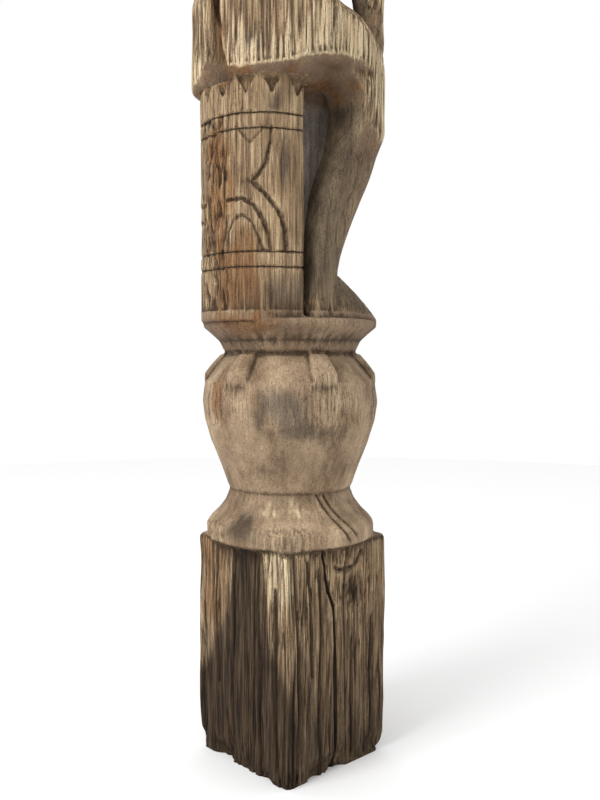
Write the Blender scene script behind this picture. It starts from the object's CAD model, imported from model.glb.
# %% [markdown]
# A guardian pole stands at a doorway or a grave and is cut from one log of very hard, heavy wood.
# Decades of rain and sun wash the soft wood out between the fibres, so its surface is as much a
# part of it as its carving. The solid model holds the carving. This lesson gives it the weathered
# wood: first as real relief in the mesh, then as colour and roughness that follow that relief.
# %% Load the solid model
import itertools
import math

import bmesh
import bpy
import numpy as np
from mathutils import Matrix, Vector
from mathutils.bvhtree import BVHTree


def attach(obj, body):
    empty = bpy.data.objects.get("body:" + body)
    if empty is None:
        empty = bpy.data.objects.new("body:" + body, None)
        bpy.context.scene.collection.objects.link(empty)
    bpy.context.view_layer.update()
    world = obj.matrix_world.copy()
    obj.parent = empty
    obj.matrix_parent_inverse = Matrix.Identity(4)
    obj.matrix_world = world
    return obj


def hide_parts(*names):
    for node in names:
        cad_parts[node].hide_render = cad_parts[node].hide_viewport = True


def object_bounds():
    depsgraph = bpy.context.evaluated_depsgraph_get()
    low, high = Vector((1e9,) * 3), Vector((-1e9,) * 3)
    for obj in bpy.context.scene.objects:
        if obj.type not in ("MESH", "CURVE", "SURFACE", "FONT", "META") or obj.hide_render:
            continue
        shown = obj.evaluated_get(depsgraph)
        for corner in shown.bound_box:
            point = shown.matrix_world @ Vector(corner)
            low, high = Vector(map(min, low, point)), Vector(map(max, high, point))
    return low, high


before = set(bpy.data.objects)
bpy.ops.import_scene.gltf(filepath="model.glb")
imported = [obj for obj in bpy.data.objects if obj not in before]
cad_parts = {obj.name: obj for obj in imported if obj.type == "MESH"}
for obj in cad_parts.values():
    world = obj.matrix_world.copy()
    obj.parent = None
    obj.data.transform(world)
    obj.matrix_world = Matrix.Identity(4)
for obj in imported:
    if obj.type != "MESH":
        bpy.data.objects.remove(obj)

cad_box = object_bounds()
MM = 0.001
NODE = "guardian_pole_statue"
print("solid model:", [round(1000 * side) for side in cad_box[1] - cad_box[0]], "mm")

# %% [markdown]
# The camera comes first, because every decision about detail depends on how near it stands. It
# looks at the statue from behind and from its right, from one metre away, and is tipped down by
# three degrees. It could be placed by eye. Here its reach, its height and its 38 mm lens come from
# the way in which the square corners of the post run together.
# %% Place the camera
PICTURE_HEIGHT = 800
FOCAL_PIXELS = 850
SENSOR_MM = 36
CAMERA_AZIMUTH = math.radians(228)
CAMERA_REACH = 1.02
CAMERA_HEIGHT = 0.4764
CAMERA_TIP = 0.0506
CAMERA_TURN = 10 / FOCAL_PIXELS

towards = Vector((math.sin(CAMERA_AZIMUTH), -math.cos(CAMERA_AZIMUTH), 0))
aside = towards.cross(Vector((0, 0, -1)))
look = -towards * math.cos(CAMERA_TURN) + aside * math.sin(CAMERA_TURN)
look = look * math.cos(CAMERA_TIP) - Vector((0, 0, math.sin(CAMERA_TIP)))

camera = bpy.data.objects.new("camera", bpy.data.cameras.new("camera"))
bpy.context.scene.collection.objects.link(camera)
camera.location = towards * CAMERA_REACH + Vector((0, 0, CAMERA_HEIGHT))
camera.rotation_euler = look.to_track_quat("-Z", "Y").to_euler()
camera.data.lens = SENSOR_MM * FOCAL_PIXELS / PICTURE_HEIGHT
bpy.context.scene.camera = camera
print("camera at", [round(value, 3) for value in camera.location])

# %% [markdown]
# The piece starts as a copy of the solid. The solid is loose triangles of every size, which can't
# hold fine relief. Subdividing them would keep their uneven shapes, so the copy is merged and then
# remeshed to small even faces. Wood needs more detail across the grain than along it. The copy is
# therefore squashed along its height before the remesh and drawn out again after it, which leaves
# faces that are long in the direction of the fibres.
# %% Copy the solid and merge its triangles
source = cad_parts[NODE]
statue = source.copy()
statue.data = source.data.copy()
statue.name = statue.data.name = "weathered_statue"
bpy.context.scene.collection.objects.link(statue)

bpy.ops.object.select_all(action="DESELECT")
statue.select_set(True)
bpy.context.view_layer.objects.active = statue
bpy.ops.object.mode_set(mode="EDIT")
bpy.ops.mesh.select_all(action="SELECT")
bpy.ops.mesh.remove_doubles(threshold=0.01 * MM)
bpy.ops.object.mode_set(mode="OBJECT")
print("merged copy:", len(statue.data.polygons), "triangles")


# %% Read and write a mesh's points in millimetres
def read_points(mesh, what="co"):
    """The places of a mesh's points, or the directions that they face."""
    flat = np.empty(len(mesh.vertices) * 3, np.float32)
    if what == "co":
        mesh.vertices.foreach_get("co", flat)
        return flat.reshape(-1, 3).astype(float) / MM
    mesh.vertex_normals.foreach_get("vector", flat)
    return flat.reshape(-1, 3).astype(float)


def write_points(mesh, points):
    mesh.vertices.foreach_set("co", (points * MM).astype(np.float32).ravel())
    mesh.update()


print("merged copy:", len(read_points(statue.data)), "points")

# %% Squash, remesh and draw out again
# Height in millimetres, how much longer than wide a face is there, and the scale across
STRETCH = (
    (0, 3.0, 1.0),
    (250, 3.0, 1.0),
    (268, 1.5, 1.0),
    (520, 1.5, 1.0),
    (780, 1.5, 1.0),
    (800, 2.4, 1.0),
    (860, 2.6, 1.0),
    (960, 2.6, 0.8),
    (1090, 2.4, 0.8),
    (1140, 1.5, 0.85),
    (1430, 1.5, 0.85),
)
VOXEL = 1.35 * MM

row_heights, row_longer, row_scale = zip(*STRETCH)
steps = np.linspace(0, row_heights[-1], 2 * row_heights[-1] + 1)
scale = np.interp(steps, row_heights, row_scale)
rate = scale / np.interp(steps, row_heights, row_longer)
squashed = np.concatenate([[0], np.cumsum((rate[1:] + rate[:-1]) / 2 * np.diff(steps))])


def squash(points):
    across = np.interp(points[:, 2], steps, scale)[:, None]
    return np.column_stack([points[:, :2] * across, np.interp(points[:, 2], steps, squashed)])


def draw_out(points):
    height = np.interp(points[:, 2], squashed, steps)
    across = np.interp(height, steps, scale)[:, None]
    return np.column_stack([points[:, :2] / across, height])


write_points(statue.data, squash(read_points(statue.data)))
remesh = statue.modifiers.new("even faces", "REMESH")
remesh.mode = "VOXEL"
remesh.voxel_size = VOXEL
remesh.use_smooth_shade = True
bpy.ops.object.modifier_apply(modifier=remesh.name)
write_points(statue.data, draw_out(read_points(statue.data)))
print("remeshed:", len(statue.data.polygons), "faces")

# %% [markdown]
# The grain could be raised by a Displace modifier with a noise texture, but that can't follow
# fibres that part round a knot, and the colours couldn't read it back. So a smooth random field is
# computed here. Sampled with millimetres that are divided by a small number across the grain and a
# large one along it, it gives long fibres. Where it crosses nought it gives thin wandering lines,
# which are the furrows and the drying cracks.
# %% A smooth random field
FIELD_SEED = 20
FIELD_GAIN = 1.6
DIRECTIONS = 1024
# Large primes that scatter the corners of the lattice over the directions
LATTICE_KEYS = np.array((73856093, 19349663, 83492791))
LATTICE_MIX = 1274126177


def field(points, seed=0):
    """Smooth values of about -1 to 1, with one rise and fall to each unit of the points."""
    gradients = np.random.default_rng(FIELD_SEED + seed).normal(size=(DIRECTIONS, 3))
    gradients /= np.linalg.norm(gradients, axis=1)[:, None]
    cell = np.floor(points).astype(np.int64)
    part = points - cell
    fade = part**3 * (part * (part * 6 - 15) + 10)
    total = np.zeros(len(points))
    for corner in itertools.product((0, 1), repeat=3):
        key = (cell + corner) @ LATTICE_KEYS
        key = (key ^ (key >> 13)) * LATTICE_MIX
        pull = gradients[(key ^ (key >> 16)) & (DIRECTIONS - 1)]
        weight = np.prod(np.where(corner, fade, 1 - fade), axis=1)
        total += weight * np.einsum("ij,ij->i", pull, part - corner)
    return total * FIELD_GAIN


def grain(points, across, along, seed=0):
    """The field drawn out along the height: millimetres across and along one rise and fall."""
    return field(points / (across, across, along), seed)


sample = field(np.linspace(0, 90, 900)[:, None] * (1.0, 0.7, 0.4))
print("field runs from", round(float(sample.min()), 2), "to", round(float(sample.max()), 2))


# %% Masks drawn with numbers
def lines(values, width):
    """One along the zero crossings of a field, falling to nought at this distance from them."""
    return np.clip(1 - np.abs(values) / width, 0, 1)


def rise(values, low, high):
    """Nought up to the low value and one from the high value, with a smooth step between them."""
    share = np.clip((values - low) / (high - low), 0, 1)
    return share * share * (3 - 2 * share)


def between(values, low, high, soft):
    return rise(values, low - soft, low + soft) * (1 - rise(values, high - soft, high + soft))


def spot(u, v, middle, size):
    """A round soft patch: one at its middle, and a fifth of that a size away from it."""
    return np.exp(-(((u - middle[0]) / size[0]) ** 2 + ((v - middle[1]) / size[1]) ** 2) * 1.5)


def route_distance(u, v, route):
    """Distance from each point (u, v) to a route of straight stretches."""
    nearest = np.full(len(u), 1e9)
    for (u0, v0), (u1, v1) in zip(route, route[1:]):
        du, dv = u1 - u0, v1 - v0
        share = np.clip(((u - u0) * du + (v - v0) * dv) / (du * du + dv * dv), 0, 1)
        nearest = np.minimum(nearest, np.hypot(u - u0 - share * du, v - v0 - share * dv))
    return nearest


print("lines cover", round(float((lines(sample, 0.15) > 0).mean()), 2), "of the sample")

# %% [markdown]
# The weather treats each part of the pole differently. The post stood in the wet and is furrowed
# deeply. The hips, knees and back are the outside of the old log, with open grain. The hollows that
# the carver cut under the thighs and behind the calves stayed dry and smooth. Weights could be
# painted for each. These masks say which is which from a point's place and the way that it faces.
# %% Where each kind of surface is
# Heights in millimetres where a part of the pole ends and the next one begins
POST_TOP, FOOT_TOP, JAR_TOP, DISH_TOP, DRUM_TOP = 262, 321, 480, 527, 778
NECK_HEIGHT = 1120
# The half-round drum stands behind this plane, and the web of wood between the legs before it
DRUM_FRONT = 34
DRUM_CENTRE = 38.4
DRUM_RADIUS = 74.4
WEB_HALF = 29
LOG_CENTRE = 2.6
LOG_RADIUS = 114.5


def surface_masks(points, normals):
    x, y, z = points.T
    away = np.hypot(x, y - LOG_CENTRE)
    from_drum = np.hypot(x, y - DRUM_CENTRE)
    masks = {
        "post": 1 - rise(z, POST_TOP - 3, POST_TOP + 2),
        "foot": between(z, POST_TOP, FOOT_TOP, 2),
        "jar": between(z, FOOT_TOP, JAR_TOP, 2),
        "dish": between(z, JAR_TOP, DISH_TOP, 2),
        "head": rise(z, NECK_HEIGHT, NECK_HEIGHT + 30),
    }
    in_drum = np.abs(from_drum - DRUM_RADIUS) < 12
    in_drum &= (z > DISH_TOP) & (z < DRUM_TOP) & (y > DRUM_FRONT)
    masks["drum"] = in_drum.astype(float)
    masks["figure"] = ((z >= DISH_TOP) & ~in_drum).astype(float)
    masks["bark"] = rise(away, LOG_RADIUS - 3.5, LOG_RADIUS - 1) * masks["figure"]
    under = rise(-normals[:, 2], 0.08, 0.3) * between(z, 700, 860, 10)
    inside = between(z, 540, 800, 12) * (1 - rise(away, LOG_RADIUS - 9, LOG_RADIUS - 3))
    masks["smooth"] = np.maximum(under, inside) * masks["figure"]
    in_web = (np.abs(x) < WEB_HALF + 4) * (y < DRUM_FRONT)
    masks["web"] = masks["figure"] * in_web * (1 - rise(z, 755, 775))
    return masks


base_points = read_points(statue.data)
where = surface_masks(base_points, read_points(statue.data, "normal"))
print("surfaces:", {name: int(mask.sum()) for name, mask in where.items()})

# %% [markdown]
# The solid has few faces, and its limbs show flats that a carver's knife doesn't leave. A Smooth
# modifier would round everything alike. Here each point moves towards the mean of its neighbours
# by its own share: the limbs many times, the jar and its neighbours a little, the post not at all.
# %% Round off the solid's flats
LIMB_ROUNDS = 40
TURNED_ROUNDS = 4


def read_edges(mesh):
    flat = np.empty(len(mesh.edges) * 2, np.int32)
    mesh.edges.foreach_get("vertices", flat)
    return flat.reshape(-1, 2)


def smoothed(values, edges, rounds, share=None):
    """Moves each value half way to the mean of its neighbours, or by a share of that."""
    ends, others = edges[:, 0], edges[:, 1]
    count = np.bincount(edges.ravel(), minlength=len(values))[:, None]
    share = 0.5 if share is None else 0.5 * share[:, None]
    for _ in range(rounds):
        total = np.empty_like(values)
        for column in range(values.shape[1]):
            first = np.bincount(ends, values[others, column], len(values))
            total[:, column] = first + np.bincount(others, values[ends, column], len(values))
        values = values + (total / count - values) * share
    return values


base_edges = read_edges(statue.data)
limbs = where["figure"] * rise(base_points[:, 2], 560, 600) * (1 - where["head"])
rounded = smoothed(base_points, base_edges, LIMB_ROUNDS, limbs)
turned_share = 0.7 * (where["jar"] + where["dish"] + where["foot"]) + where["head"]
rounded = smoothed(rounded, base_edges, TURNED_ROUNDS, np.clip(turned_share, 0, 1))
print("rounding moves points up to", round(float(np.abs(rounded - base_points).max()), 1), "mm")

base_points = rounded
write_points(statue.data, base_points)
base_normals = read_points(statue.data, "normal")
where = surface_masks(base_points, base_normals)

# %% [markdown]
# The fibres of a log aren't ruler straight. They wander a little, and they part round the knot in
# the post's side. Curves could be drawn for them. It is simpler to push the points sideways by a
# slow field, and near the knot away from its middle, and then to read every kind of grain at those
# pushed points.
# %% Make the fibres wander
WANDER = 4
WANDER_SIZE = (70, 70, 260)
# On the cones the fibres are lines down the slope, as if all of them were cut at this radius
TURNED_FIBRE_RADIUS = 95
KNOT = (-12, 247)
KNOT_SIZE = (17, 34)
KNOT_PART = 0.75
KNOT_LIFT = 60
# Points of the post's sides lie further out than the first, and points in their cracks further
# out than the second
POST_SIDE = 70
CRACKED_SIDE = 55


def fibre_points(points):
    pushed = points.copy()
    slow = points / WANDER_SIZE
    pushed[:, 0] += WANDER * field(slow, 1)
    pushed[:, 1] += WANDER * field(slow + 9, 2)
    x, y, z = points.T
    near = spot(y, z, KNOT, KNOT_SIZE) * (x < -POST_SIDE) * (z < POST_TOP)
    pushed[:, 1] -= (y - KNOT[0]) * KNOT_PART * near
    pushed[:, 2] += KNOT_LIFT * near
    turned = (z > POST_TOP) & (z < DISH_TOP - 1)
    away = np.hypot(x, y)[turned, None]
    pushed[turned, :2] *= TURNED_FIBRE_RADIUS / np.maximum(away, 20)
    return pushed


fibres = fibre_points(base_points)
wandered = np.abs(fibres - base_points)[base_points[:, 2] > DISH_TOP].max()
print("fibres wander up to", round(float(wandered), 1), "mm on the figure")

# %% Furrows and open grain of the weather
# For each surface: depth of the wide furrows, of the open grain and of the fine grain, in mm
RELIEF = {
    "post": (3.6, 2.4, 1.2),
    "foot": (0.2, 0.3, 0.3),
    "jar": (0.2, 0.6, 0.35),
    "dish": (0.3, 0.3, 0.25),
    "drum": (0.5, 0.7, 0.5),
    "figure": (0.5, 0.8, 0.7),
    "head": (0.0, 0.4, 0.3),
}


def jar_grain(points):
    """Where the jar's wall shows open grain: beside its smooth middle, and on its far side."""
    x, y, z = points.T
    turn = np.degrees(np.arctan2(y, x)) % 360
    seen = np.maximum(spot(turn, z, (162, 418), (24, 46)), spot(turn, z, (84, 425), (20, 42)))
    unseen = rise(field(points / (50, 50, 90), 23), 0, 0.4) * (1 - between(turn, 60, 190, 10))
    return np.maximum(seen, unseen) * rise(z, 370, 410)


def weather_relief(points, fibres, masks):
    """Depth of three sizes of grain. The two coarse ones fade out and come back in patches."""
    wide = lines(grain(fibres, 17, 520, 3), 0.15) * rise(grain(points, 30, 120, 4), -0.3, 0.4)
    open_grain = lines(grain(fibres, 8, 240, 5), 0.26)
    open_grain = open_grain * rise(grain(points, 24, 90, 6), -0.5, 0.3)
    fine = lines(grain(fibres, 4.6, 110, 7), 0.6)
    depth = np.zeros(len(points))
    for name, (a, b, c) in RELIEF.items():
        share = masks[name]
        if name == "figure":
            share = share * (1 - masks["head"]) * (1 - 0.85 * masks["smooth"])
            share = share * (1 + masks["bark"])
        if name == "jar":
            share = share * (0.1 + 1.5 * jar_grain(points))
        depth += share * (a * wide + b * open_grain + c * fine)
    return depth


depth = weather_relief(base_points, fibres, where)
print("weather relief: mean", round(float(depth.mean()), 2), "mm")

# %% [markdown]
# Next come the marks that belong to this one pole: the long split down the post, the other drying
# cracks, the knot with its star of short cracks, the splits and the worn lip of the foot, and the
# rotten cleft down the back. They could be sculpted by hand. Each is a route or a patch in
# millimetres on the surface where it lies, so that the finish can find it again later.
# %% Routes of the cracks
# On the post's side that faces -X: (y, height)
POST_SPLIT = ((25, 262), (22, 246), (15, 213), (6, 191), (2, 106), (0, 0))
SIDE_CRACKS = (
    ((4, 236), (-6, 232), (-18, 231), (-30, 236), (-38, 249)),
    ((66, 262), (63, 170), (59, 98), (61, 0)),
    ((47, 250), (42, 190), (40, 118)),
    ((31, 238), (27, 170), (29, 70), (26, 0)),
    ((-24, 150), (-22, 80), (-25, 12)),
    ((-55, 170), (-53, 96), (-57, 30)),
)
# The same on the side that faces +Y: (x, height)
BACK_CRACKS = (
    ((-36, 258), (-32, 200), (-38, 120), (-34, 0)),
    ((12, 262), (8, 190), (14, 100), (9, 4)),
    ((42, 255), (45, 180), (40, 90)),
    ((-62, 220), (-60, 120), (-66, 20)),
    ((66, 180), (63, 110), (68, 12)),
)
# The rotten cleft down the small of the back, which fades out upwards: (x, height)
BACK_CLEFT = ((-2, 930), (-4, 890), (-6, 850), (-12, 805), (-20, 775))
CLEFT_FADE = (880, 925)
BACK_SIDE = 60
# The splits on the foot: (degrees round the pole, height)
FOOT_SPLITS = (((162, 322), (170, 300), (181, 270)), ((169, 322), (175, 305), (188, 274)))
FOOT_RADIUS = 90
SWAY_SIZE = (40, 40, 130)
FAR = 99.0
print("cracks:", len(SIDE_CRACKS) + len(BACK_CRACKS) + len(FOOT_SPLITS), "and the long split")


# %% How far a point lies from a crack
def beside_split(points):
    """Distance from the post's long split, below nought on the split's -Y side."""
    y, z = points.T[1:]
    ys, heights = zip(*POST_SPLIT[::-1])
    return y + 1.2 * field(points / SWAY_SIZE, 8) - np.interp(z, heights, ys)


def crack_distance(points, masks):
    """Distance of each point of the post and the foot from the nearest of the other cracks."""
    x, y, z = points.T
    sway = 2.2 * field(points / SWAY_SIZE, 8)
    side = [route_distance(y + sway, z, route) for route in SIDE_CRACKS]
    back = [route_distance(x + sway, z, route) for route in BACK_CRACKS]
    girth = np.arctan2(y, x) % (2 * math.pi) * FOOT_RADIUS
    foot = []
    for route in FOOT_SPLITS:
        flat = [(math.radians(degrees) * FOOT_RADIUS, height) for degrees, height in route]
        foot.append(route_distance(girth, z, flat))
    nearest = np.full(len(points), FAR)
    for place, distances in ((x < -CRACKED_SIDE, side), (y > CRACKED_SIDE, back)):
        found = np.minimum(nearest, np.min(distances, axis=0))
        nearest = np.where(place & (masks["post"] > 0.5), found, nearest)
    return np.where(masks["foot"] > 0.5, np.min(foot, axis=0), nearest)


def cleft_distance(points):
    x, y, z = points.T
    reach = route_distance(x + 4 * field(points / (16, 16, 34), 22), z, BACK_CLEFT)
    return np.where((y > BACK_SIDE) & (z > BACK_CLEFT[-1][1] - 5), reach, FAR)


print("points in the cleft:", int((cleft_distance(base_points) < 9).sum()))

# %% The knot and the worn lip
RING_STEP = 9
KNOT_REACH = (24, 26)
# Stretches of the foot's lower edge that the weather has opened: from, to and softness in degrees
WORN_STRETCHES = ((50, 92, 8), (119, 152, 5))


def knot_lines(points, masks):
    """The arcs round the knot and the short cracks that run out of its middle."""
    y, z = points[:, 1] - KNOT[0], points[:, 2] - KNOT[1]
    side = (points[:, 0] < -CRACKED_SIDE) * masks["post"] * spot(y, z, (0, 0), KNOT_REACH)
    ring = lines(np.sin(np.hypot(y, z) * math.pi / RING_STEP), 0.45)
    spoke = lines(np.sin(4.5 * np.arctan2(z, y) + field(points / 9, 18)), 0.3)
    return side * np.maximum(0.7 * ring, spoke)


def worn_lip(points):
    x, y, z = points.T
    turn = np.degrees(np.arctan2(y, x))
    worn = [between(turn, *stretch) for stretch in WORN_STRETCHES]
    return np.max(worn, axis=0) * between(z, POST_TOP, 288, 5)


print("points in the worn lip:", int((worn_lip(base_points) > 0.5).sum()))

# %% Depth of this pole's own marks
# Depth in millimetres, and the distance from the mark's line at which it has run out
CRACK = (4, 2.6)
SPLIT = (6, 3.6)
CLEFT = (10, 9)
KNOT_DEPTH = 2.2
# The rough patch under the knot: its depth, its middle and its size
ROUGH = (3, (-27, 205), (30, 34))


def one_pole_marks(points, masks):
    x, y, z = points.T
    on_side = (x < -CRACKED_SIDE) * masks["post"]
    crack = np.clip(1 - crack_distance(points, masks) / CRACK[1], 0, 1)
    depth = (CRACK[0] - masks["foot"]) * crack
    depth += SPLIT[0] * np.clip(1 - np.abs(beside_split(points)) / SPLIT[1], 0, 1) * on_side
    depth += KNOT_DEPTH * knot_lines(points, masks)
    cleft = np.clip(1 - cleft_distance(points) / CLEFT[1], 0, 1)
    depth += CLEFT[0] * cleft * (1 - rise(z, *CLEFT_FADE))
    rough = on_side * spot(y, z, ROUGH[1], ROUGH[2])
    depth += ROUGH[0] * rough * lines(field(points / (9, 9, 12), 19), 0.7)
    opened = 2.5 * lines(grain(points, 8, 90, 9), 0.45) + 2 * rise(field(points / 12, 10), 0, 0.6)
    depth += worn_lip(points) * opened
    return depth


depth += one_pole_marks(base_points, where)
print("with this pole's own marks: deepest", round(float(depth.max()), 1), "mm")

# %% [markdown]
# The drum is carved with two bands, a leaf, arches and a tongue, the same to both sides. The solid
# has their grooves. The carver also took the ground down behind the leaf and the arches, and the
# rot has eaten a strip down the drum's middle. Booleans would cut hard steps. Here the lines are
# routes round the drum, and the depth fades with the distance from them.
# %% Lines carved on the drum
# Heights of the lines round it, and routes on it: (degrees from the middle of the back, height)
BAND_LINES = (737, 721, 590, 573.6)
LEAF_LINE = ((55.3, 723), (55, 707), (51, 685), (44.5, 671.5), (38.4, 665))
ARCH_LINE = ((38.4, 665), (48.2, 654), (57.4, 641), (64, 628), (67.2, 614.6), (68.3, 590))
INNER_LINE = ((14, 646), (30, 647.7), (40.5, 639.4), (48.2, 624.5), (53.4, 607.8), (55, 590))
TONGUE_LINE = (
    (49, 590), (43, 609), (38.4, 622), (30.4, 630), (21.5, 624.5), (16.5, 612), (15, 590)
)
NOTCH_LINE = ((26.5, 720), (36.6, 705.5), (47.6, 720))
CARVED_LINES = (LEAF_LINE, ARCH_LINE, INNER_LINE, TONGUE_LINE, NOTCH_LINE)


def carved_line_distance(points, masks):
    """Distance of each point of the drum from the nearest carved line; far everywhere else."""
    x, y, z = points.T
    girth = np.abs(np.arctan2(-x, y - DRUM_CENTRE)) * DRUM_RADIUS
    nearest = np.min([np.abs(z - height) for height in BAND_LINES], axis=0)
    for route in CARVED_LINES:
        flat = [(math.radians(turn) * DRUM_RADIUS, height) for turn, height in route]
        nearest = np.minimum(nearest, route_distance(girth, z, flat))
    return np.where(masks["drum"] > 0.5, nearest, FAR)


def cut_back(points):
    """One just behind the leaf and the arches, fading to nought away from them."""
    x, y, z = points.T
    turn = np.degrees(np.abs(np.arctan2(-x, y - DRUM_CENTRE)))
    ground = np.zeros(len(points))
    for route in (LEAF_LINE, ARCH_LINE, INNER_LINE[1:], TONGUE_LINE[:4]):
        turns, heights = zip(*sorted(route, key=lambda place: place[1]))
        behind = (np.interp(z, heights, turns) - turn) * DRUM_RADIUS * math.pi / 180
        inside = (z > heights[0]) & (z < heights[-1]) & (behind > 0)
        ground = np.maximum(ground, inside * np.exp(-behind / 9))
    return ground


print("lines carved on the drum:", len(BAND_LINES), "round it and", len(CARVED_LINES), "a side")

# %% The rot down the drum, and the dents in the jar
ROT_DEPTH = 5
ROT_HOLES = 4
LINE_WIDTH = 1.5
GROUND_DEPTH = 2.0
DENT_DEPTH = 0.7


def drum_and_jar_marks(points, fibres, masks):
    x, y = points.T[:2]
    turn = np.degrees(np.arctan2(-x, y - DRUM_CENTRE))
    rotten = (1 - rise(np.abs(turn + 4), 9, 26)) * masks["drum"]
    rot = ROT_DEPTH * lines(grain(fibres, 10, 70, 12), 0.5)
    depth = rotten * (rot + ROT_HOLES * rise(grain(points, 10, 22, 13), -0.1, 0.6))
    cut = np.clip(1 - carved_line_distance(points, masks) / LINE_WIDTH, 0, 1)
    depth += cut * (0.4 + 0.6 * rise(field(points / 14, 20), -0.4, 0.4))
    depth += GROUND_DEPTH * cut_back(points) * masks["drum"]
    depth += masks["jar"] * DENT_DEPTH * lines(field(points / (34, 34, 40), 14), 0.8)
    return depth


depth += drum_and_jar_marks(base_points, fibres, where)
print("all relief: mean", round(float(depth.mean()), 2), "mm")

# %% [markdown]
# The depths now go into the mesh: each point moves in along its normal. The foot of the post is
# broken away in chips, which go in level, so that the underside stays flat. A bump in the material
# would be quicker, but the outline would stay straight. Last, the mesh is thinned, because the
# even faces are more than the smooth places need.
# %% Carve the relief into the mesh
FACE_LIMIT = 197000
PETAL_FOOT = 738
PETAL_DEPTH = 1.2
BASE_EDGE = 0.5
POST_HALF = 80

lowest, highest = (np.array(corner) / MM for corner in cad_box)
petals = (base_points[:, 2] > PETAL_FOOT) & (where["drum"] > 0.5)
depth[petals] = np.minimum(depth[petals], PETAL_DEPTH)
flat_base = base_points[:, 2] < BASE_EDGE
depth[flat_base] = 0
carved = base_points - base_normals * depth[:, None]
near_rim = rise(np.abs(base_points[:, :2]).max(axis=1), 50, 78)
near_rim = near_rim * (1 - rise(base_points[:, 2], 2, 26))
chips = 7 * rise(field(base_points / (30, 30, 60), 11), -0.1, 0.5)
chips += 3 * rise(field(base_points / (8, 8, 40), 17), 0.1, 0.5)
carved[:, :2] *= (1 - near_rim * chips / POST_HALF)[:, None]
carved = np.clip(carved, lowest, highest)
carved[flat_base, 2] = 0
write_points(statue.data, carved)

bpy.ops.object.select_all(action="DESELECT")
statue.select_set(True)
bpy.context.view_layer.objects.active = statue
thin_out = statue.modifiers.new("fewer faces", "DECIMATE")
thin_out.ratio = min(FACE_LIMIT / (2 * len(statue.data.polygons)), 1.0)
bpy.ops.object.modifier_apply(modifier=thin_out.name)
print("carved:", sum(len(face.vertices) - 2 for face in statue.data.polygons), "triangles")

# %% [markdown]
# Dirt collects in the hollows and the ridges bleach, so the colour has to know the relief. It could
# be baked to an image, but values on the points need none. Two measures are taken from the
# finished mesh: how far a point lies below the surface around it, and how much sky it sees.
# %% How far each point is sunk
# Thinning out moves a few points by some hundredths of a millimetre, so they are clipped again
points = np.clip(read_points(statue.data), lowest, highest)
write_points(statue.data, points)
normals = read_points(statue.data, "normal")
edges = read_edges(statue.data)
sunk = np.einsum("ij,ij->i", smoothed(points, edges, 6) - points, normals)
print("sunk: 5 and 95 per cent", np.round(np.percentile(sunk, (5, 95)), 2), "mm")

# %% How much of the sky each point sees
SKY_RAYS = 14
SKY_REACH = 60 * MM
SKY_START = 0.6 * MM
SKY_SEED = 5

triangles = bmesh.new()
triangles.from_mesh(statue.data)
tree = BVHTree.FromBMesh(triangles)
triangles.free()

# A little shorter than a normal, so that no ray turns back into the surface where it starts
spread = np.random.default_rng(SKY_SEED).normal(size=(SKY_RAYS, 3))
spread /= np.linalg.norm(spread, axis=1)[:, None] * 1.05
hidden = np.zeros(len(points))
for index, (point, normal) in enumerate(zip(points * MM, normals)):
    start = Vector(point + normal * SKY_START)
    for ray in spread:
        if tree.ray_cast(start, Vector(ray + normal), SKY_REACH)[0] is not None:
            hidden[index] += 1 / SKY_RAYS
hidden = smoothed(hidden[:, None], edges, 3)[:, 0]
print("hidden from the sky: mean", round(float(hidden.mean()), 3))

# %% [markdown]
# Rain, soil and rot stained this pole in patches. The post is black-brown near the ground and in a
# tongue that climbs one side, the jar is greyed by handling, and the rotten back of the drum shows
# orange wood. They could be painted on. Each patch here is a soft spot with a ragged edge that
# follows the fibres, kept from zero to one on the points.
# %% Places where the stains lie
where = surface_masks(points, normals)
x, y, z = points.T
turn = np.degrees(np.arctan2(-x, y - DRUM_CENTRE))
angle = np.degrees(np.arctan2(y, x))
post, drum, jar, figure = where["post"], where["drum"], where["jar"], where["figure"]
left_face, right_face = post * (y > 66), post * (x < -64)
places = {
    **where,
    "right face": right_face,
    "back": figure * (y > 40),
    "small of the back": figure * (y > BACK_SIDE),
}

# For each patch: its stain, where it lies, what is measured across it, its middle and its size
# across and in height, and its strength
PATCHES = (
    ("wet", "right face", y, (-27, 207), (26, 34), 1.0),
    ("grey", "jar", angle, (135, 424), (20, 34), 1.0),
    ("grey", "jar", angle, (150, 395), (30, 14), 1.0),
    ("grey", "jar", angle, (118, 405), (12, 24), 0.7),
    ("grey", "foot", angle, (103, 286), (14, 22), 1.0),
    ("grey", "drum", turn, (66, 548), (30, 26), 0.9),
    ("grey", "drum", turn, (60, 748), (14, 12), 0.9),
    ("grey", "drum", turn, (66, 690), (12, 40), 0.7),
    ("grey", "back", angle, (119, 805), (16, 20), 1.0),
    ("rust", "drum", turn, (24, 560), (34, 62), 1.0),
    ("rust", "drum", turn, (4, 640), (26, 170), 0.85),
    ("rust", "drum", turn, (30, 610), (14, 34), 0.8),
    ("rust", "jar", angle, (84, 430), (14, 40), 0.8),
    ("rust", "dish", angle, (104, 515), (34, 22), 0.8),
    ("rust", "small of the back", x, (-6, 830), (16, 90), 0.8),
    ("pale", "foot", angle, (132, 300), (44, 16), 0.5),
)
amounts = {stain: np.zeros(len(points)) for stain in ("wet", "grey", "rust", "pale")}
for stain, part, across, middle, size, strength in PATCHES:
    spots = places[part] * spot(across, z, middle, size) * strength
    amounts[stain] = np.maximum(amounts[stain], spots)
print("round patches:", len(PATCHES))

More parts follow.
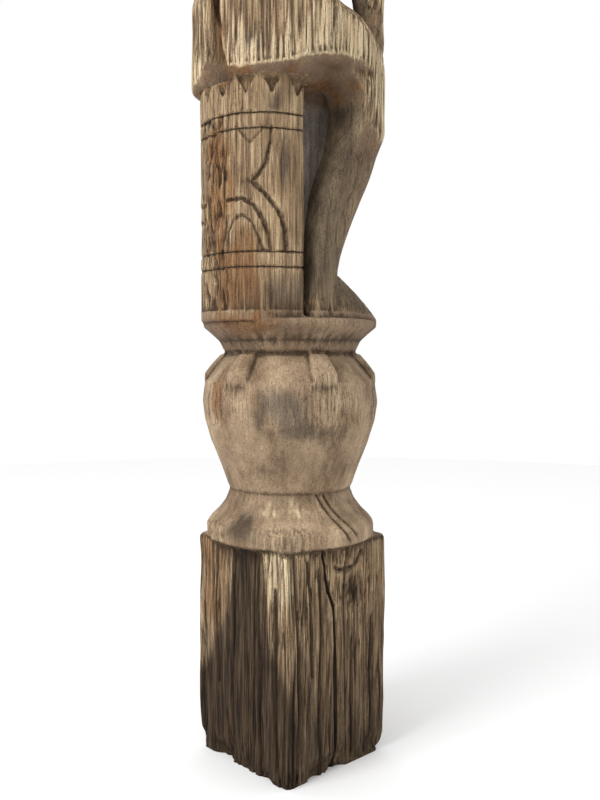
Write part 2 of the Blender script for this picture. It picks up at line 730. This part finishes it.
# %% Stains and bleached places of other shapes
# The stain down the post's side that faces +Y: height, its middle and half its width
STAIN = (
    (0, 0, 150), (70, 0, 140), (100, -8, 80), (126, -12, 62),
    (185, -10, 31), (250, -13, 23), (262, -13, 20),
)
heights, middles, halves = zip(*STAIN)
inside_stain = np.interp(z, heights, halves) - np.abs(x - np.interp(z, heights, middles))
from_cleft = cleft_distance(points)
above_cleft = 1 - rise(z, *CLEFT_FADE)
rot_under = where["smooth"] * between(z, 760, 800, 12) * rise(field(points / 26, 21), -0.2, 0.5)
SHAPED = (
    ("wet", left_face * rise(inside_stain, -16, 12)),
    ("rust", left_face * between(x, 16, 74, 8) * rise(z, 130, 180) * 0.6),
    ("rust", 0.9 * np.exp(-(((from_cleft - 8) / 7) ** 2)) * above_cleft),
    ("rust", rot_under * 0.8),
    ("pale", left_face * between(x, -82, -42, 8) * between(z, 205, 262, 18)),
    ("pale", where["bark"]),
)
for stain, shape in SHAPED:
    amounts[stain] = np.maximum(amounts[stain], shape)

ragged = 0.5 * grain(points, 14, 60, 15) + 0.6 * grain(points, 5, 60, 16)
stains = {name: rise(amount + 0.6 * ragged, 0.3, 0.75) for name, amount in amounts.items()}
stains["web"] = where["web"]
damp = post * (1 - rise(z, 0, 235))
stains["damp"] = np.clip(damp + 0.3 * ragged * rise(damp, 0, 0.3), 0, 1)
print("stains:", {name: int(values.sum()) for name, values in stains.items()})

# %% [markdown]
# The finish needs more than stains. Closed wood has no open pores, dry places hold no dirt, and
# the carved lines and cracks are dark inside. These could be separate materials, but their borders
# would show. All are kept as attributes from zero to one, which one material mixes softly.
# %% Closed and dry wood, and the dirt
under = where["smooth"] * rise(-normals[:, 2], 0.1, 0.35)
calf = where["smooth"] - under
closed = [
    under,
    0.5 * calf,
    where["foot"] * (1 - 0.4 * worn_lip(points)),
    0.7 * where["dish"],
    0.6 * where["web"],
    jar * (1 - jar_grain(points)),
    0.6 * drum * rise(turn, 30, 44),
]
open_wood = 1 - 0.85 * np.maximum.reduce(closed)
dry = [where["smooth"], where["web"], drum * (z > PETAL_FOOT), 0.7 * where["foot"]]
dry = np.maximum.reduce(dry)

crack_reach = 2.8 - 1.3 * where["foot"]
marks = [
    np.maximum(0.8 * rise(sunk, 0.0, 0.5), 1.1 * rise(hidden, 0.5, 0.85)) * (1 - 0.8 * dry),
    0.5 * np.exp(-((carved_line_distance(points, where) / 1.0) ** 2)),
    0.9 * np.exp(-(((z - POST_TOP + 0.5) / 2.5) ** 2)),
    np.exp(-((crack_distance(points, where) / crack_reach) ** 2)),
    0.8 * knot_lines(points, where),
    0.95 * np.exp(-((from_cleft / 5) ** 2)) * above_cleft,
    0.8 * where["web"] * spot(y, z, (-4, 717), (7, 11)),
]
dirt = np.clip(np.maximum.reduce(marks), 0, 1)
print("dirt: mean", round(float(dirt.mean()), 3))

# %% Keep the measures as attributes
facing_in = normals[:, 1] * 0.74 - normals[:, 0] * np.sign(x) * 0.67
instep = figure * between(z, DISH_TOP, 584, 3) * (y < DRUM_FRONT)
shaded_arm = figure * (z > 800) * (y < -25) * (1 - where["head"]) * rise(facing_in, -0.1, 0.35)
jar_shade = 0.5 * jar * spot(angle, z, (128, 362), (50, 34))
measures = {
    "dirt": dirt,
    "ridge": rise(-sunk, 0.05, 0.5) * (1 - 0.45 * drum) * (1 - 0.4 * right_face),
    "shelter": rise(hidden, 0.3, 0.75) * (1 - 0.6 * dry),
    "open": open_wood,
    "under": np.maximum.reduce([under, 0.7 * where["dish"], jar_shade]),
    "shaded": np.maximum.reduce([shaded_arm, calf, 0.8 * instep]),
    "handled": np.maximum.reduce([jar, where["dish"], where["foot"]]),
    "drum": drum,
    "side": post * (x < -45) * (y < 66),
    "beside_split": beside_split(points),
    **stains,
}
for name, values in measures.items():
    layer = statue.data.attributes.new(name, "FLOAT", "POINT")
    layer.data.foreach_set("value", values.astype(np.float32))
print("attributes:", ", ".join(measures))


# %% [markdown]
# The finish is ironwood that was never painted or oiled: it was adzed, then left to the weather for
# decades. Lignin washes out of the top of each fibre and leaves it silver grey or straw, and the
# furrows between stay brown. The surface scatters light and hardly shines. One noise over one brown
# would look like plastic, so every state of the wood has its own two colours, named for it.
# %% Colours
def linear(hex_colour):
    """An sRGB hex colour as the linear numbers that a shader takes."""
    made = []
    for i in (1, 3, 5):
        value = int(hex_colour[i : i + 2], 16) / 255
        made.append(value / 12.92 if value <= 0.04045 else ((value + 0.055) / 1.055) ** 2.4)
    return (*made, 1.0)


BLEACHED_FIBRE = linear("#e6d2ad")
STRAW_WOOD = linear("#a58a69")
WORN_STRAW = linear("#bda583")
BROWN_WOOD = linear("#64503e")
DARK_FURROW = linear("#16100b")
LIT_FURROW = linear("#33261b")
HANDLED_BROWN = linear("#7c6650")
HANDLED_LIGHT = linear("#b7a084")
SHADED_BROWN = linear("#433930")
SHADED_LIGHT = linear("#7a6b56")
UNDER_BROWN = linear("#624f40")
UNDER_LIGHT = linear("#866f5a")
WET_STAIN = linear("#120d0a")
WET_LIGHT = linear("#51402f")
ROT_BROWN = linear("#52361f")
ROT_ORANGE = linear("#976b42")
GREY_DARK = linear("#453c34")
GREY_BLOOM = linear("#6c6053")
WEB_DARK = linear("#877c70")
WEB_GREY = linear("#cbc0b3")
print("straw wood in linear numbers:", [round(value, 3) for value in STRAW_WOOD[:3]])

# %% The material, and the helper that adds a node
wood = bpy.data.materials.new("weathered_ironwood")
wood.use_nodes = True
nodes, links = wood.node_tree.nodes, wood.node_tree.links
nodes.clear()


def add(kind, settings=None, **sources):
    """Adds a node. Settings are its own properties. Each source is a value or another node's
    output, named for its socket with _ for a space, or by the letter i and the socket's number."""
    node = nodes.new(kind)
    for name, value in (settings or {}).items():
        setattr(node, name, value)
    for name, value in sources.items():
        number = name[1:]
        socket = node.inputs[int(number) if number.isdigit() else name.replace("_", " ")]
        if isinstance(value, bpy.types.NodeSocket):
            links.new(value, socket)
        else:
            socket.default_value = value
    return node


place = add("ShaderNodeTexCoord").outputs["Object"]
print("material:", wood.name)

# %% Grain patterns of the finish
# For each noise: how wide and how long one rise and fall of it is in millimetres, its detail and
# roughness. Real fibres are finer than the hair, which is drawn as coarse as it needs to show.
NOISES = {
    "fibre": (3.6, 90, 4.0, 0.65),
    "hair": (1.9, 44, 3.0, 0.75),
    "slits": (7.0, 150, 1.0, 0.5),
    "speckle": (1.3, 2.0, 2.0, 0.7),
    "streak": (11, 190, 3.0, 0.6),
    "blotch": (34, 60, 4.0, 0.6),
}
pattern = {}
for name, (across, along, detail, roughness) in NOISES.items():
    size = (1 / (across * MM), 1 / (across * MM), 1 / (along * MM))
    stretched = add("ShaderNodeMapping", i0=place, i3=size).outputs[0]
    noise = add("ShaderNodeTexNoise", i0=stretched, Scale=1.0, Detail=detail, Roughness=roughness)
    pattern[name] = noise.outputs[0]
for name in measures:
    pattern[name] = add("ShaderNodeAttribute", {"attribute_name": name}).outputs["Fac"]
print("patterns:", ", ".join(pattern))

# %% Weigh the patterns together
# For each sum: the patterns with their weights, and the values that become nought and one
SUMS = {
    "tone": ((("fibre", 0.45), ("streak", 0.2), ("blotch", 0.35)), (0.4, 0.6)),
    "cloud": ((("blotch", 0.75), ("speckle", 0.25)), (0.38, 0.62)),
    "bright": ((("hair", 1.0),), (0.45, 0.6)),
    "thread": ((("fibre", 1.0),), (0.36, 0.64)),
    "pits": ((("hair", 0.8), ("speckle", 0.2)), (0.48, 0.38)),
    "dots": ((("speckle", 1.0),), (0.44, 0.32)),
    "broken": ((("blotch", 0.6), ("streak", 0.4)), (0.44, 0.54)),
    "worn": ((("hair", 0.5), ("fibre", 0.5)), (0.3, 0.7)),
    "rough": ((("streak", 0.43),), (-0.65, 0.6)),
}
weighted = {"operation": "MULTIPLY_ADD"}
for name, (parts, (low, high)) in SUMS.items():
    total = 0.0
    for part, weight in parts:
        total = add("ShaderNodeMath", weighted, i0=pattern[part], i1=weight, i2=total).outputs[0]
    stretched = add("ShaderNodeMapRange", i0=total, i1=low, i2=high, i3=0.0, i4=1.0)
    pattern[name] = stretched.outputs[0]
print("sums:", ", ".join(SUMS))

# %% [markdown]
# The drying cracks, the long split and the lines cut round the drum are thinner than the mesh's
# faces, so the finish draws them. A thin line is where a value passes through a level: a noise for
# the cracks, the distance beside the split for the split, and the height for the lines round the
# drum. A bump could show them too, but it can't make the dark inside them.
# %% Thin lines
LINE_WANDER = 6 * MM
height = add("ShaderNodeSeparateXYZ", i0=place).outputs[2]
height = add("ShaderNodeMath", weighted, i0=pattern["blotch"], i1=LINE_WANDER, i2=height)
# For each line: the value, its level and how far to both sides the line reaches
THIN_LINES = [
    ("slit", pattern["slits"], 0.5, 0.024),
    ("split", pattern["beside_split"], 0.0, 2.4),
]
for line_height in BAND_LINES:
    level = line_height * MM + LINE_WANDER / 2
    THIN_LINES.append(("band", height.outputs[0], level, 0.7 * MM))
for name, value, level, reach in THIN_LINES:
    line = add("ShaderNodeMath", {"operation": "COMPARE"}, i0=value, i1=level, i2=reach)
    so_far = pattern.get(name, 0.0)
    both = add("ShaderNodeMath", {"operation": "MAXIMUM"}, i0=so_far, i1=line.outputs[0])
    pattern[name] = both.outputs[0]
print("thin lines:", len(THIN_LINES))

# %% Lay the colours over each other
# For each layer: the patterns that say where it lies, how strongly it covers, which pattern leads
# from its dark colour to its light one, and both colours
LAYERS = (
    (("ridge", "bright"), 0.9, "tone", STRAW_WOOD, BLEACHED_FIBRE),
    (("handled",), 0.75, "cloud", HANDLED_BROWN, HANDLED_LIGHT),
    (("shaded",), 0.9, "cloud", SHADED_BROWN, SHADED_LIGHT),
    (("under",), 0.9, "cloud", UNDER_BROWN, UNDER_LIGHT),
    (("rust",), 0.75, "worn", ROT_BROWN, ROT_ORANGE),
    (("grey",), 0.75, "cloud", GREY_DARK, GREY_BLOOM),
    (("web",), 0.85, "cloud", WEB_DARK, WEB_GREY),
    (("pale",), 0.75, "tone", WORN_STRAW, BLEACHED_FIBRE),
    (("pale", "bright"), 0.85, "tone", WORN_STRAW, BLEACHED_FIBRE),
    (("damp",), 0.85, "thread", WET_STAIN, WET_LIGHT),
    (("wet",), 0.9, "thread", WET_STAIN, WET_LIGHT),
    (("shelter",), 0.35, "tone", SHADED_BROWN, BROWN_WOOD),
    (("slit", "open", "broken"), 0.7, "thread", DARK_FURROW, LIT_FURROW),
    (("pits", "open"), 0.75, "thread", DARK_FURROW, LIT_FURROW),
    (("dots",), 0.45, "thread", DARK_FURROW, LIT_FURROW),
    (("dirt",), 0.92, "thread", DARK_FURROW, LIT_FURROW),
    (("band", "drum"), 0.85, "thread", DARK_FURROW, LIT_FURROW),
    (("split", "side"), 0.95, "thread", DARK_FURROW, LIT_FURROW),
)
mixed = {"data_type": "RGBA"}
bare = add("ShaderNodeMix", mixed, i0=pattern["tone"], i6=BROWN_WOOD, i7=STRAW_WOOD)
colour = bare.outputs[2]
for names, strength, lead, dark, light in LAYERS:
    share = strength
    for name in names:
        both = add("ShaderNodeMath", {"operation": "MULTIPLY"}, i0=pattern[name], i1=share)
        share = both.outputs[0]
    layer = add("ShaderNodeMix", mixed, i0=pattern[lead], i6=dark, i7=light).outputs[2]
    colour = add("ShaderNodeMix", mixed, i0=share, i6=colour, i7=layer).outputs[2]
print("colour layers:", len(LAYERS))

# %% Fine relief, roughness and the shader
bump = add("ShaderNodeBump", Strength=0.9, Distance=1.4 * MM, Height=pattern["worn"])
# Open pores swallow most of what a closed surface would mirror, so the mirror part is turned down
shader = add(
    "ShaderNodeBsdfPrincipled",
    Base_Color=colour,
    Roughness=pattern["rough"],
    Normal=bump.outputs[0],
    Specular_IOR_Level=0.12,
    Metallic=0.0,
)
add("ShaderNodeOutputMaterial", Surface=shader.outputs[0])
statue.data.materials.clear()
statue.data.materials.append(wood)
statue.data.shade_smooth()
print("finish:", len(nodes), "nodes")

# %% [markdown]
# The statue is one rigid log, so it rides on the frame's only body. It takes the place of the solid
# node, which stays hidden for collisions. The solid could have stayed under it, but two surfaces so
# close together would show through each other.
# %% Stand for the solid node
# The copy still carries the notes that mark the solid itself
for word in [key for key in statue.keys() if key.startswith("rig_")]:
    del statue[word]
statue.parent = None
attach(statue, "root")
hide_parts(NODE)
print(statue.name, "stands for", NODE)

# %% [markdown]
# The statue stands on a plain pale floor in soft white light: the sky lights it from all round, and
# one big panel at the upper left makes the fibres cast their small shadows. A sun lamp would give
# harder shadows than the soft daylight in which such a pole is seen best.
# %% Floor and light
FLOOR_RADIUS = 3.0
PANEL_SIZE = 1.2
PANEL_WATTS = 44
PANEL_AIM = Vector((0, 0, 0.5))

bpy.ops.object.select_all(action="DESELECT")
bpy.ops.mesh.primitive_circle_add(
    vertices=96, radius=FLOOR_RADIUS, fill_type="NGON", location=(0, 0, 0)
)
floor = bpy.context.object
floor.name = "floor"
# Matt wall paint: it scatters the light evenly and mirrors nothing
floor_finish = bpy.data.materials.new("matt_white_paint")
floor_finish.use_nodes = True
paint = floor_finish.node_tree.nodes["Principled BSDF"]
paint.inputs["Base Color"].default_value = linear("#f4f4f4")
paint.inputs["Roughness"].default_value = 0.9
floor.data.materials.append(floor_finish)

world = bpy.data.worlds.new("white_room")
world.use_nodes = True
world.node_tree.nodes["Background"].inputs["Color"].default_value = linear("#ffffff")
world.node_tree.nodes["Background"].inputs["Strength"].default_value = 1.0
bpy.context.scene.world = world

panel = bpy.data.objects.new("panel", bpy.data.lights.new("panel", "AREA"))
bpy.context.scene.collection.objects.link(panel)
panel.data.shape = "DISK"
panel.data.size = PANEL_SIZE
panel.data.energy = PANEL_WATTS
panel.location = towards * 1.3 - aside * 1.5 + Vector((0, 0, 2.2))
panel.rotation_euler = (PANEL_AIM - panel.location).to_track_quat("-Z", "Y").to_euler()
bpy.context.scene.view_settings.view_transform = "Standard"
print("panel at", [round(value, 2) for value in panel.location])
